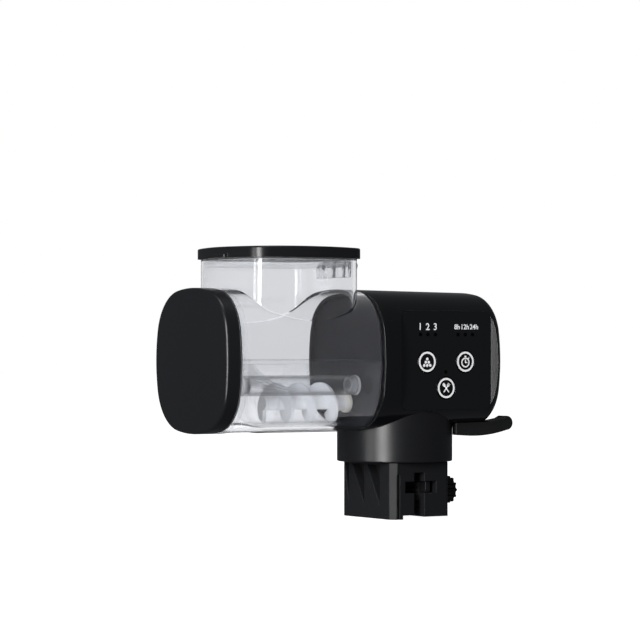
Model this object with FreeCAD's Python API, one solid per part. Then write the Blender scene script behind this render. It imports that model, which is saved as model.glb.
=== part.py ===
import FreeCAD, Part
import math
import os

# Automatic pet feeder that clamps on a tank rim. Millimetres, +Z up.
# Origin: middle of the rim seat, the roof of the clamp's slot.
# X runs along the body, from the end cap (-X) to the housing (+X). The panel faces -Y.

Vec = FreeCAD.Vector

# Body section: a square with bulged sides and round corners, shared by cap, bin and housing
body_half = 34.4            # half of the height and width
side_radius = 86.0          # bulge of each side
corner_radius = 22.8

# Lengths along X
bin_length = 79.0
housing_length = 69.8
cap_thickness = 8.7
neck_setback = 27.8         # from the bin joint to the swivel axis
gasket_thickness = 0.8

# Clamp
slot_width = 5.9
fixed_jaw = 12.7
screw_leg = 14.5
clamp_width = 46.2          # along Y
jaw_depth = 22.4            # from the rim seat down to the tip of the fixed jaw
inner_jaw_step = 1.9        # how much higher the inner half of the fixed jaw ends
leg_step = 1.0              # how much higher the screw leg ends
roof_thickness = 4.9
front_chamfer = 2.9         # along the upright edges of the fixed jaw
clamp_corner = 1.8
groove_start = 2.9          # groove between the two halves of the fixed jaw, from its outer face
groove_width = 1.4
groove_depth = 1.2
groove_top = 0.8            # from the rim seat down to the top of the groove
outer_jaw = 6.2
rib_spacing = 13.8
rib_pocket_width = 11.0
rib_pocket_depth = 5.0
rib_pocket_height = 19.5
rib_pocket_top = 1.2        # from the top of the block down to the pockets
rib_pocket_end = 0.6        # left of the flat face beside the last pocket
rib_pocket_offset = -11.9   # near edge of the pocket next to the panel side
notch_height = 5.6
notch_depth = 7.0           # into the screw leg
notch_reach = 5.2           # into the fixed jaw
notch_drop = 7.0            # from the rim seat down to the middle of the notch
screw_drop = 9.9            # from the rim seat down to the screw axis
screw_radius = 2.5
screw_tip_radius = 2.0
screw_tip_length = 1.6
screw_end_play = 0.1        # between the tip and the bottom of its socket
screw_shoulder_gap = 0.05
insert_radius = 3.5
insert_setback = 0.8        # from the end of the notch
knob_radius = 6.7
knob_thickness = 8.0
knob_floor = 1.2            # past the end of the screw
knob_teeth = 12
knob_valley_radius = 1.45
knob_valley_shift = 0.1     # valley centres outside the knob's radius
knob_edge_fillet = 0.4
knob_gap = 8.4              # knob to leg, with the pad drawn back into the leg
pad_setback = 0.2           # pad behind the inner face of the leg
pad_play = 1.6              # further way back for the pad
pad_rubber_thickness = 1.8
pad_carrier_thickness = 2.6
pad_length = 34.0
pad_low = 18.6              # from the rim seat down to the bottom of the pad
pad_groove_start = 1.2      # from the bottom of the pad
pad_groove_pitch = 2.4
pad_groove_width = 1.0
pad_groove_depth = 0.5
ear_length = 42.0           # the bar of the carrier that slides in the notch
jaw_pad_thickness = 1.2
jaw_pad_top = 10.8          # from the rim seat down to the top of the jaw's pad
jaw_groove_pitch = 2.2
jaw_groove_width = 0.9
jaw_groove_depth = 0.4
jaw_groove_margin = 1.0     # left whole at each end of the pad

# Swivel neck
neck_radius = 28.3
neck_wall = 2.6
neck_floor = 3.0
neck_height = 15.0          # from the top of the clamp up to the underside of the body
neck_foot_fillet = 0.6
neck_rise = 14.4            # how far the walls and posts reach up past the underside of the body
spigot_radius = 12.0
spigot_root = 0.5           # start of the spigot above the rim seat
swivel_gap = 0.15
swivel_washer_radius = 17.0
swivel_washer_thickness = 1.6
swivel_screw_circle = 7.5
swivel_screw_hole = 1.4     # radius
swivel_pilot_start = 0.9    # above the rim seat
neck_post_reach = 15.0
neck_post_radius = 3.6
neck_post_play = 0.8        # around each post in the housing
neck_post_pilot = 1.1       # radius
post_seat_thickness = 3.2   # housing floor above each post, measured inside the wall
post_screw_hole = 1.5       # radius

# Screws: head radius, head height, shank radius, length
swivel_screw = (2.6, 1.6, 1.25, 7.0)
board_screw = (2.2, 1.4, 1.0, 5.5)
gearbox_screw = (2.4, 1.5, 1.1, 7.0)
motor_screw = (1.7, 1.0, 1.0, 4.2)

# Fits
running_clearance = 0.05    # radial, for shafts that turn in bores
slip_clearance = 0.15       # radial or per side, for pieces that plug together
moving_gap = 0.3            # between pieces that move past each other

# Housing
housing_wall = 2.0
housing_draft = 1.0         # how much each side has drawn in at the far end
housing_end_fillet = 4.5
panel_start = 11.5          # from the bin joint
panel_length = 53.0
panel_height = 48.0
panel_corner = 4.5
panel_depth = 4.5           # from the crown of the front down to the panel's face
panel_thickness = 1.8
recess_slant = 3.0          # how much wider the recess is at the crown than at the panel
bulkhead_thickness = 2.5
bulkhead_gap = 0.06         # bulkhead to the inside of the housing wall
spigot_rim_length = 2.0
spigot_rim_wall = 1.5

# Keys and lights, measured from the bin joint and from the body axis
key_radius = 5.5
key_proud = 0.3
key_travel = 0.6
key_flange_radius = 6.5
key_flange_thickness = 1.0
key_edge_fillet = 0.35
key_stub_radius = 1.6
key_hole_gap = 0.2          # radial, in the panel
key_well_gap = 0.3          # radial, in the housing's front wall
key_layout = {"portion_key": (26.7, -0.6), "timer_key": (49.1, -0.6), "feed_key": (37.8, -13.3)}
light_radius = 0.9
light_layout = [(23.0, 12.6), (27.3, 12.6), (31.6, 12.6), (44.9, 12.6), (49.2, 12.6), (53.5, 12.6), (37.7, -5.5)]
board_gap = 6.0             # from the back of the panel wall to the board
board_thickness = 1.6
board_half_height = 22.0
board_margin = 1.0          # board shorter than the panel at each end
board_standoff_radius = 2.5
board_post_inset = 4.5      # from the ends of the panel
board_post_half = 19.0      # from the body axis, up and down
lens_proud = 0.1
lens_gap = 1.2              # from the lens to the board
switch_height = 3.3
switch_width = 6.0

# Battery, behind the board
battery_start = 14.0        # from the bin joint
battery_length = 48.0
battery_thickness = 9.5
battery_height = 33.0
battery_from_back = 5.4     # from the crown of the back
battery_fillet = 2.0

# Bin and hopper
bin_wall = 1.8
hopper_half = 31.9
hopper_side_radius = 110.0
hopper_corner_radius = 10.0
hopper_from_cap = 40.2
hopper_height = 47.8        # rim above the body axis
outlet_from_cap = 6.0
outlet_length = 21.0
outlet_width = 24.0
outlet_corner = 3.0

# Feed trough and auger
trough_wall = 1.2
ledge_half = 22.0
bead_radius = 1.2
trough_start_gap = 0.6      # between the trough and the cap's spigot, and at the far end
trough_side = 40.0          # anything past the bin's inside; the insert is trimmed to it
trough_end_web = 1.2
trough_floor_gap = 0.15     # under the trough, besides the slip clearance
trough_plate = 1.5          # wall below the chute
auger_radius = 10.0
auger_clearance = 0.6
auger_core_radius = 3.4
auger_pitch = 12.5
auger_length = 46.0
auger_flight_thickness = 2.4
auger_plain_end = 4.3       # bare core at the drive end
auger_root_overlap = 0.6    # flight into the core
auger_hub_length = 5.0
auger_socket_depth = 4.6
auger_key_margin = 0.15     # above the coupler's key
trough_bulkhead_from_joint = 48.5
trough_collar_length = 6.0
chute_top_height = 1.0
chute_bottom_height = -12.5
chute_sag = (0.42, 0.30)    # middle of the chute's curve, as shares of its length and height
desiccant_radius = 4.75
desiccant_wall = 0.7
desiccant_y = -23.2
desiccant_height = -11.5
desiccant_length = 62.0
desiccant_from_joint = 11.7
desiccant_plug_length = 3.0
desiccant_plain_cap = 1.2
desiccant_vent_cap = 1.4
desiccant_vent_bore = 2.85
desiccant_vent_skin = 0.8
desiccant_holes = 8
desiccant_hole_radius = 0.55
desiccant_hole_circle = 1.9

# Lid and hinge
lid_half = 33.3
lid_thickness = 6.2
lid_crown = 0.9
lid_wall = 1.8
lid_skirt_depth = 3.0
lid_skirt_wall = 1.4
lid_skirt_gap = 0.75        # lets the skirt swing clear of the hopper's rim
lid_pocket_margin = 0.15    # pocket under the lid, inside the skirt
lift_half = 8.0             # finger lift on the lid's -X side
lift_reach = 1.6
lift_thickness = 1.9
lift_fillet = 0.7
lid_edge_fillet = 0.8
seal_thickness = 0.8
pin_radius = 0.8
knuckle_radius = 1.9
hinge_drop = 2.1            # pin axis below the hopper rim
bin_knuckles = [(11.5, 14.5), (1.8, 7.9)]          # along Y, on each side of the middle
lid_knuckles = [(-11.2, -8.2), (-1.5, 1.5), (8.2, 11.2)]
hinge_web_height = 7.7
hinge_web_foot = 0.6        # width of the web's foot, outside the pin axis
lid_hinge_web = 1.2         # lid's webs start this far inside the pin axis
pin_end = 0.3               # pin past the outer knuckles

# End cap
cap_dome_radius = 420.0
cap_edge_fillet = 1.4
cap_wall = 2.0
cap_dome_depth = 1.7        # depth of the dome at the cap's edge, left solid
cap_side_wall = 3.0
cap_spigot_depth = 4.0
cap_spigot_wall = 1.4

# Drive
gear_module = 0.6
output_teeth = 30
idler_pinion_teeth = 15
idler_teeth = 36
motor_pinion_teeth = 15
gear_backlash = 0.14
pressure_angle = math.radians(20)
output_plane = 6.0          # start of the output gear, from the bin joint
output_width = 4.0
idler_plane = 10.6
idler_width = 3.2
gear_plate_from_joint = 15.0
gear_plate_thickness = 2.0
shaft_radius = 2.0
idler_shaft_radius = 1.0
motor_shaft_radius = 1.0
motor_radius = 10.0
motor_length = 25.0
motor_flat = 7.6            # from the motor axis to the can's flats
motor_boss_radius = 3.0
motor_boss_length = 1.6
motor_tail_length = 1.4
motor_screw_offset = 7.0
motor_screw_depth = 2.6
motor_shaft_depth = 5.0     # into the motor
bulkhead_boss_radius = 4.6
idler_boss_radius = 3.0
boss_gap = 0.4              # bosses to the output gear
seal_radius = 3.6
seal_length = 1.5
pillar_radius = 2.6
pillar_pilot = 7.0          # depth of the pilot holes
gear_plate_reach = 13.0     # pillars on each side of the axis
gear_plate_low = 2.0        # lower pillars above the auger axis
gear_plate_high = 14.5      # upper pillar above the motor axis
gear_plate_margin = 3.4
gear_plate_foot = 5.0
gear_plate_head = 5.0       # half the width of the plate's top
gear_plate_shoulder = 4.0
gear_plate_screw_hole = 1.3
coupler_radius = 5.2
coupler_length = 6.0
coupler_flange = 1.6
coupler_gap = 0.5           # from the coupler to the bin joint
dog_radius = 2.9
dog_key_half = 0.8
dog_key_reach = 4.2

# Charging port under the housing
port_from_joint = 59.5
port_y = -17.0
port_width = 8.0
port_thickness = 3.2
port_depth = 5.0
port_cut_height = 12.0      # through the housing's wall
port_wall = 0.5
port_tongue_half = 2.4
port_tongue_thickness = 0.7
port_tongue_start = 1.2
port_tongue_proud = 0.5
port_recess = 3.2           # top of the flange's recess, above the lowest line of the housing
plug_flange_margin = 1.2    # flange beyond the socket, along X
plug_flange_half = 3.6      # along Y
plug_flange_drop = 1.6      # flange below the lowest line of the housing
plug_nose_margin = 0.8
plug_nose_half = 0.75
plug_nose_rise = 0.9
plug_tab_width = 8.0
plug_tab_start = 9.5        # tab before the middle of the port
plug_tab_drop = 2.4         # underside of the tab, below the lowest line of the housing
plug_tab_top = 4.5          # before trimming to the housing, above the same line
plug_tab_fillet = 0.6
plug_tab_sag = 0.2
plug_tip_height = 3.4       # middle of the rounded tip, above the same line
plug_tip_radius = 3.5
plug_tip_shoulder = (2.5, 1.2)  # corner before the tip: back and down from its top
plug_reach = 14.5           # past the end of the housing

# Derived places
underside_z = roof_thickness + neck_height
axis_z = underside_z + body_half
neck_x = (screw_leg - fixed_jaw) / 2
joint_x = neck_x - neck_setback
bin_start = joint_x - bin_length
cap_face = bin_start - cap_thickness - gasket_thickness
housing_end = joint_x + housing_length
hopper_x = bin_start + hopper_from_cap
hopper_rim = axis_z + hopper_height
clamp_start = -slot_width / 2 - fixed_jaw
clamp_end = slot_width / 2 + screw_leg
panel_y = -(body_half - panel_depth)
panel_wall_y = panel_y + panel_thickness
board_y = panel_wall_y + housing_wall + board_gap
auger_drop = body_half - bin_wall - slip_clearance - trough_floor_gap - trough_wall - auger_clearance - auger_radius
auger_z = axis_z - auger_drop
hinge_x = hopper_x + hopper_half + knuckle_radius
hinge_z = hopper_rim - hinge_drop
bore_radius = auger_radius + auger_clearance
idler_z = auger_z + gear_module * (output_teeth + idler_pinion_teeth) / 2
motor_z = idler_z + gear_module * (idler_teeth + motor_pinion_teeth) / 2
port_x = joint_x + port_from_joint
port_floor = underside_z + port_recess
pad_x = slot_width / 2 + pad_setback
pad_back = pad_x + pad_rubber_thickness + pad_carrier_thickness
insert_start = slot_width / 2 + notch_depth + insert_setback
washer_base = roof_thickness + neck_floor + 2 * swivel_gap
post_seat = underside_z + housing_wall + post_seat_thickness
trough_wall_x = joint_x - trough_bulkhead_from_joint
trough_end_x = joint_x - spigot_rim_length - trough_start_gap
ledge_start = bin_start + cap_spigot_depth + 1
desiccant_end = joint_x - desiccant_from_joint
desiccant_start = desiccant_end - desiccant_length
desiccant_z = axis_z + desiccant_height
motor_face = joint_x + gear_plate_from_joint + gear_plate_thickness


# ---------- shared shapes ----------

def box(x0, x1, y0, y1, z0, z1):
    return Part.makeBox(x1 - x0, y1 - y0, z1 - z0, Vec(x0, y0, z0))


def rod_x(radius, x0, x1, y=0.0, z=0.0):
    return Part.makeCylinder(radius, x1 - x0, Vec(x0, y, z), Vec(1, 0, 0))


def rod_y(radius, y0, y1, x=0.0, z=0.0):
    return Part.makeCylinder(radius, y1 - y0, Vec(x, y0, z), Vec(0, 1, 0))


def rod_z(radius, z0, z1, x=0.0, y=0.0):
    return Part.makeCylinder(radius, z1 - z0, Vec(x, y, z0), Vec(0, 0, 1))


def slab(z0, z1):
    # Everything between two heights.
    return box(-200, 200, -100, 100, z0, z1)


def joined(shapes):
    return shapes[0].multiFuse(shapes[1:]).removeSplitter()


def bulged_square(half, side_r, corner_r, place):
    # Four shallow side arcs and four corner arcs, all tangent; place(u, v) gives a point in space.
    side_centre = half - side_r
    spread = side_r - corner_r
    corner = (side_centre + math.sqrt(2 * spread ** 2 - side_centre ** 2)) / 2
    tx = side_r * corner / spread
    tz = side_centre + side_r * (corner - side_centre) / spread
    diagonal = corner + corner_r / math.sqrt(2)
    edges = []
    for turn in range(4):
        c, s = round(math.cos(turn * math.pi / 2)), round(math.sin(turn * math.pi / 2))

        def at(u, v):
            return place(c * u + s * v, c * v - s * u)

        edges.append(Part.Arc(at(-tx, tz), at(0, half), at(tx, tz)).toShape())
        edges.append(Part.Arc(at(tx, tz), at(diagonal, diagonal), at(tz, tx)).toShape())
    return Part.Wire(edges)


def body_section(x, inset=0.0):
    return bulged_square(body_half - inset, side_radius - inset, corner_radius - inset,
                         lambda u, v: Vec(x, u, axis_z + v))


def body_prism(x0, x1, inset=0.0):
    return Part.Face(body_section(x0, inset)).extrude(Vec(x1 - x0, 0, 0))


def upright_edges(shape):
    return [e for e in shape.Edges if abs(e.tangentAt(0).z) > 0.9]


def body_ring(x0, x1, outer_inset, inner_inset):
    return body_prism(x0, x1, outer_inset).cut(body_prism(x0, x1, inner_inset))


def hopper_prism(z0, z1, inset=0.0, half=hopper_half):
    wire = bulged_square(half - inset, hopper_side_radius - inset, hopper_corner_radius - inset,
                         lambda u, v: Vec(hopper_x + u, v, z0))
    return Part.Face(wire).extrude(Vec(0, 0, z1 - z0))


def rounded_panel(y0, y1, grow=0.0):
    # The recess outline, a rounded rectangle in XZ, as a prism along Y.
    x0, x1 = joint_x + panel_start - grow, joint_x + panel_start + panel_length + grow
    z0, z1 = axis_z - panel_height / 2 - grow, axis_z + panel_height / 2 + grow
    block = box(x0, x1, y0, y1, z0, z1)
    upright = [e for e in block.Edges if abs(e.tangentAt(0).y) > 0.9]
    return block.makeFillet(panel_corner + grow, upright)


def panel_recess():
    # The recess widens towards the front, so its four walls lean outwards.
    def outline(y, grow):
        shape = rounded_panel(y, y + 1, grow)
        return [f for f in shape.Faces if abs(f.CenterOfMass.y - y) < 1e-6][0].OuterWire

    mouth_y = -body_half - 0.5
    slant = Part.makeLoft([outline(panel_y, 0.0), outline(mouth_y, recess_slant)], True, True)
    return slant.fuse(rounded_panel(panel_y - 0.01, panel_wall_y))


def screw(head_radius, head_height, shank_radius, length, origin, direction):
    # Pan head above the origin, shank below it, along the direction it is driven.
    drive = Vec(*direction)
    start = Vec(*origin)
    head = Part.makeCylinder(head_radius, head_height, start - drive * head_height, drive)
    shank = Part.makeCylinder(shank_radius, length, start, drive)
    slot = Part.makeCylinder(head_radius * 0.35, head_height * 0.5, start - drive * head_height, drive)
    return head.fuse(shank).removeSplitter().cut(slot)


# ---------- clamp ----------

def clamp_frame():
    y = clamp_width / 2
    block = box(clamp_start, clamp_end, -y, y, -jaw_depth, roof_thickness)
    block = block.makeChamfer(front_chamfer, [e for e in upright_edges(block) if e.CenterOfMass.x < 0])
    block = block.makeFillet(clamp_corner, [e for e in upright_edges(block) if e.CenterOfMass.x > 0])
    block = block.fuse(rod_z(spigot_radius, spigot_root, washer_base, neck_x))
    half_slot = slot_width / 2
    low = -jaw_depth - 1
    notch_low, notch_top = -notch_drop - notch_height / 2, -notch_drop + notch_height / 2
    block = block.cut(box(-half_slot, half_slot, -y - 1, y + 1, low, 0))
    block = block.cut(box(clamp_start + outer_jaw, 0, -y - 1, y + 1, low, -jaw_depth + inner_jaw_step))
    block = block.cut(box(0, clamp_end + 1, -y - 1, y + 1, low, -jaw_depth + leg_step))
    block = block.cut(box(-half_slot - notch_reach, half_slot + notch_depth, -y - 1, y + 1, notch_low, notch_top))
    block = block.cut(pad_pocket())
    block = block.cut(rod_x(screw_radius + running_clearance, half_slot, clamp_end + 1, 0, -screw_drop))
    block = block.cut(rod_x(insert_radius, insert_start, clamp_end + 1, 0, -screw_drop))
    block = block.cut(jaw_pad_block())
    for side in (-1, 1):
        edge = side * y
        groove = box(clamp_start + groove_start, clamp_start + groove_start + groove_width,
                     min(edge, edge - side * groove_depth), max(edge, edge - side * groove_depth), low, -groove_top)
        block = block.cut(groove)
    for pocket in jaw_pockets():
        block = block.cut(pocket)
    for x, y in swivel_screw_places():
        block = block.cut(rod_z(swivel_screw[2], swivel_pilot_start, washer_base + 1, x, y))
    return block.removeSplitter()


def jaw_pockets():
    # Three-cornered pockets in the outer face of the fixed jaw, wide at the top, with a rib between each two.
    top = roof_thickness - rib_pocket_top
    low = top - rib_pocket_height
    pockets = []
    for k in range(3):
        near = rib_pocket_offset + k * rib_spacing
        far = min(near + rib_pocket_width, clamp_width / 2 - front_chamfer - rib_pocket_end)
        points = [Vec(clamp_start - 1, near, top), Vec(clamp_start - 1, far, top), Vec(clamp_start - 1, near, low)]
        face = Part.Face(Part.makePolygon(points + points[:1]))
        pockets.append(face.extrude(Vec(1 + rib_pocket_depth, 0, 0)))
    return pockets


def jaw_pad_block():
    x = -slot_width / 2
    return box(x - jaw_pad_thickness, x, -pad_length / 2, pad_length / 2, -pad_low, -jaw_pad_top)


def jaw_pad():
    pad = jaw_pad_block()
    half = pad_length / 2 - jaw_groove_margin
    for k in range(3):
        z = -pad_low + pad_groove_start + jaw_groove_pitch * k
        pad = pad.cut(box(-slot_width / 2 - jaw_groove_depth, 0, -half, half, z, z + jaw_groove_width))
    return pad


def pad_pocket():
    # Room in the screw leg for the drawn-back pad.
    half = pad_length / 2 + moving_gap
    back = pad_back + moving_gap + pad_play
    return box(slot_width / 2 - 1, back, -half, half, -pad_low - moving_gap, -notch_drop)


def pad_carrier():
    x0 = pad_x + pad_rubber_thickness
    half = notch_height / 2 - moving_gap
    bar = box(x0, pad_back, -ear_length / 2, ear_length / 2, -notch_drop - half, -notch_drop + half)
    bar = bar.fuse(box(x0, pad_back, -pad_length / 2, pad_length / 2, -pad_low, -notch_drop))
    socket_start = pad_back - screw_tip_length - screw_end_play
    return bar.cut(rod_x(screw_tip_radius + running_clearance, socket_start, pad_back + 1, 0, -screw_drop))


def pad_rubber():
    pad = box(pad_x, pad_x + pad_rubber_thickness, -pad_length / 2, pad_length / 2,
              -pad_low, -notch_drop + notch_height / 2 - moving_gap)
    for k in range(5):
        z = -pad_low + pad_groove_start + pad_groove_pitch * k
        pad = pad.cut(box(pad_x - 1, pad_x + pad_groove_depth, -pad_length, pad_length, z, z + pad_groove_width))
    return pad


def clamp_screw():
    shoulder = pad_back + screw_shoulder_gap
    tip = rod_x(screw_tip_radius, shoulder - screw_tip_length, shoulder + 1, 0, -screw_drop)
    shaft = rod_x(screw_radius, shoulder, clamp_end + knob_gap + knob_thickness - knob_floor, 0, -screw_drop)
    return tip.fuse(shaft).removeSplitter()


def clamp_knob():
    x0 = clamp_end + knob_gap
    knob = rod_x(knob_radius, x0, x0 + knob_thickness, 0, -screw_drop)
    knob = knob.makeFillet(knob_edge_fillet, [e for e in knob.Edges if e.Curve.TypeId == "Part::GeomCircle"])
    for k in range(knob_teeth):
        a = 2 * math.pi * (k + 0.5) / knob_teeth
        y = (knob_radius + knob_valley_shift) * math.cos(a)
        z = (knob_radius + knob_valley_shift) * math.sin(a)
        knob = knob.cut(rod_x(knob_valley_radius, x0 - 1, x0 + knob_thickness + 1, y, -screw_drop + z))
    return knob.cut(rod_x(screw_radius, x0 - 1, x0 + knob_thickness - knob_floor, 0, -screw_drop))


def screw_insert():
    sleeve = rod_x(insert_radius, insert_start, clamp_end, 0, -screw_drop)
    return sleeve.cut(rod_x(screw_radius + running_clearance, insert_start - 1, clamp_end + 1, 0, -screw_drop))


def swivel_screw_places():
    places = []
    for k in range(3):
        a = math.radians(90 + 120 * k)
        places.append((neck_x + swivel_screw_circle * math.cos(a), swivel_screw_circle * math.sin(a)))
    return places


def swivel_washer():
    z = washer_base
    washer = rod_z(swivel_washer_radius, z, z + swivel_washer_thickness, neck_x)
    for x, y in swivel_screw_places():
        washer = washer.cut(rod_z(swivel_screw_hole, z - 1, z + swivel_washer_thickness + 1, x, y))
    return washer


def swivel_screws():
    z = washer_base + swivel_washer_thickness
    return Part.Compound([screw(*swivel_screw, (x, y, z), (0, 0, -1)) for x, y in swivel_screw_places()])


# ---------- swivel neck and housing ----------

def housing_block(inset=0.0, x0=joint_x, x1=housing_end):
    return Part.makeLoft([body_section(x0, inset), body_section(x1, inset + housing_draft)], True, True)


def neck_posts():
    return [(neck_x + i * neck_post_reach, j * neck_post_reach) for i in (-1, 1) for j in (-1, 1)]


def neck_collar():
    base = roof_thickness + swivel_gap
    top = underside_z + neck_rise
    collar = rod_z(neck_radius, base, top, neck_x)
    foot = [e for e in collar.Edges if e.Closed and e.BoundBox.ZMax < base + 0.1]
    collar = collar.makeFillet(neck_foot_fillet, foot)
    collar = collar.cut(rod_z(neck_radius - neck_wall, base + neck_floor, top + 1, neck_x))
    posts = [rod_z(neck_post_radius, base + neck_floor - 0.5, top, x, y) for x, y in neck_posts()]
    collar = collar.multiFuse(posts)
    collar = collar.cut(rod_z(spigot_radius + running_clearance, 0, base + neck_floor + 1, neck_x))
    collar = collar.cut(housing_block())
    collar = collar.cut(body_prism(bin_start, joint_x))
    for x, y in neck_posts():
        collar = collar.cut(rod_z(neck_post_pilot, base + neck_floor + 1, top, x, y))
    return max(collar.Solids, key=lambda s: s.Volume).removeSplitter()


def housing_shell():
    shell = housing_block()
    rim = [e for e in shell.Edges if e.BoundBox.XMin > housing_end - 0.01]
    shell = shell.makeFillet(housing_end_fillet, rim)
    cavity = housing_block(housing_wall, joint_x - 1, housing_end - housing_wall)
    keep = rounded_panel(-body_half - 5, panel_wall_y + housing_wall, housing_wall + recess_slant / 2)
    cavity = cavity.cut(keep)
    for x, y in neck_posts():
        cavity = cavity.cut(rod_z(neck_post_radius + neck_post_play, underside_z - 1, post_seat, x, y))
    for x, z in board_posts():
        cavity = cavity.cut(rod_y(board_standoff_radius, panel_wall_y, board_y, x, z))
    shell = shell.cut(cavity)
    shell = shell.cut(panel_recess())
    for x, y in neck_posts():
        shell = shell.cut(rod_z(post_screw_hole, 0, post_seat + 1, x, y))
    for dx, dz in key_layout.values():
        shell = shell.cut(rod_y(key_radius + key_well_gap, panel_wall_y - 1, board_y - 2, joint_x + dx, axis_z + dz))
    for dx, dz in light_layout:
        shell = shell.cut(rod_y(light_radius, panel_wall_y - 1, board_y - 3, joint_x + dx, axis_z + dz))
    for x, z in board_posts():
        shell = shell.cut(rod_y(board_screw[2], panel_wall_y + housing_wall, board_y + 1, x, z))
    shell = shell.cut(port_socket_block(0.0))
    shell = shell.cut(port_flange_block(0.0))
    return shell.removeSplitter()


def drive_bulkhead():
    plate = body_prism(joint_x, joint_x + bulkhead_thickness, housing_wall + bulkhead_gap)
    rim_inset = bin_wall + slip_clearance
    rim = body_ring(joint_x - spigot_rim_length, joint_x + 0.5, rim_inset + 0.1, rim_inset + spigot_rim_wall)
    boss_end = joint_x + output_plane - boss_gap
    boss = rod_x(bulkhead_boss_radius, joint_x + 1, boss_end, 0, auger_z)
    idler_boss = rod_x(idler_boss_radius, joint_x + 1, boss_end, 0, idler_z)
    plate = joined([plate, rim, boss, idler_boss] + gear_plate_pillars())
    plate = plate.cut(rod_x(shaft_radius + running_clearance, joint_x - 1, joint_x + 10, 0, auger_z))
    plate = plate.cut(rod_x(seal_radius, joint_x - 3, joint_x + seal_length, 0, auger_z))
    plate = plate.cut(rod_x(idler_shaft_radius, joint_x + seal_length, joint_x + 10, 0, idler_z))
    pilot_start = joint_x + gear_plate_from_joint - pillar_pilot
    for y, z in gear_plate_corners():
        plate = plate.cut(rod_x(gearbox_screw[2], pilot_start, motor_face, y, z))
    return plate


def gear_plate_corners():
    low = auger_z + gear_plate_low
    return [(-gear_plate_reach, low), (gear_plate_reach, low), (0.0, motor_z + gear_plate_high)]


def gear_plate_pillars():
    end = joint_x + gear_plate_from_joint
    return [rod_x(pillar_radius, joint_x + 1, end, y, z) for y, z in gear_plate_corners()]


def bin_gasket():
    return body_ring(joint_x - gasket_thickness, joint_x, 0.25, bin_wall)


def control_panel():
    panel = rounded_panel(panel_y, panel_wall_y, -slip_clearance)
    for dx, dz in key_layout.values():
        panel = panel.cut(rod_y(key_radius + key_hole_gap, panel_y - 1, panel_wall_y + 1, joint_x + dx, axis_z + dz))
    for dx, dz in light_layout:
        panel = panel.cut(rod_y(light_radius, panel_y - 1, panel_wall_y + 1, joint_x + dx, axis_z + dz))
    return panel


def indicator_lenses():
    front, back = panel_y - lens_proud, board_y - lens_gap
    return Part.Compound([rod_y(light_radius, front, back, joint_x + dx, axis_z + dz)
                          for dx, dz in light_layout])


def panel_key(dx, dz):
    x, z = joint_x + dx, axis_z + dz
    flange_y = panel_wall_y + housing_wall + moving_gap
    cap = rod_y(key_radius - slip_clearance, panel_y - key_proud, flange_y + key_flange_thickness, x, z)
    rim = [e for e in cap.Edges if e.Closed and e.BoundBox.YMax < panel_y]
    cap = cap.makeFillet(key_edge_fillet, rim)
    flange = rod_y(key_flange_radius, flange_y, flange_y + key_flange_thickness, x, z)
    stub = rod_y(key_stub_radius, flange_y, board_y - switch_height - key_travel - running_clearance, x, z)
    return joined([cap, flange, stub])


def board_posts():
    x0 = joint_x + panel_start + board_post_inset
    x1 = joint_x + panel_start + panel_length - board_post_inset
    return [(x, axis_z + z) for x in (x0, x1) for z in (-board_post_half, board_post_half)]


def main_board():
    x0 = joint_x + panel_start + board_margin
    x1 = joint_x + panel_start + panel_length - board_margin
    board = box(x0, x1, board_y, board_y + board_thickness, axis_z - board_half_height, axis_z + board_half_height)
    for x, z in board_posts():
        board = board.cut(rod_y(board_screw[2] + key_hole_gap, board_y - 1, board_y + 3, x, z))
    return board


def board_screws():
    y = board_y + board_thickness
    return Part.Compound([screw(*board_screw, (x, y, z), (0, -1, 0)) for x, z in board_posts()])


def key_switches():
    half = switch_width / 2
    front = board_y - switch_height
    return Part.Compound([box(joint_x + dx - half, joint_x + dx + half, front, board_y,
                              axis_z + dz - half, axis_z + dz + half) for dx, dz in key_layout.values()])


def battery_pack():
    back = body_half - battery_from_back
    x0 = joint_x + battery_start
    half = battery_height / 2
    pack = box(x0, x0 + battery_length, back - battery_thickness, back, axis_z - half, axis_z + half)
    return pack.makeFillet(battery_fillet, pack.Edges)


def port_socket_block(inset):
    half_w, half_t = port_width / 2 - inset, port_thickness / 2 - inset
    return box(port_x - half_w, port_x + half_w, port_y - half_t, port_y + half_t,
               underside_z, underside_z + port_cut_height)


def port_flange_block(inset):
    # Recess in the underside of the housing around the charging port, for the plug's flange.
    half_length = port_width / 2 + plug_flange_margin - inset
    half_width = plug_flange_half - inset
    return box(port_x - half_length, port_x + half_length, port_y - half_width, port_y + half_width, 0, port_floor)


def charge_port():
    top = port_floor + port_depth
    socket = port_socket_block(0.0).common(slab(port_floor + 0.2, top + 1))
    inner = port_socket_block(port_wall).common(slab(port_floor, top))
    half_t = port_tongue_thickness / 2
    tongue = box(port_x - port_tongue_half, port_x + port_tongue_half, port_y - half_t, port_y + half_t,
                 port_floor + port_tongue_start, top + port_tongue_proud)
    return socket.cut(inner).fuse(tongue).removeSplitter()


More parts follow.
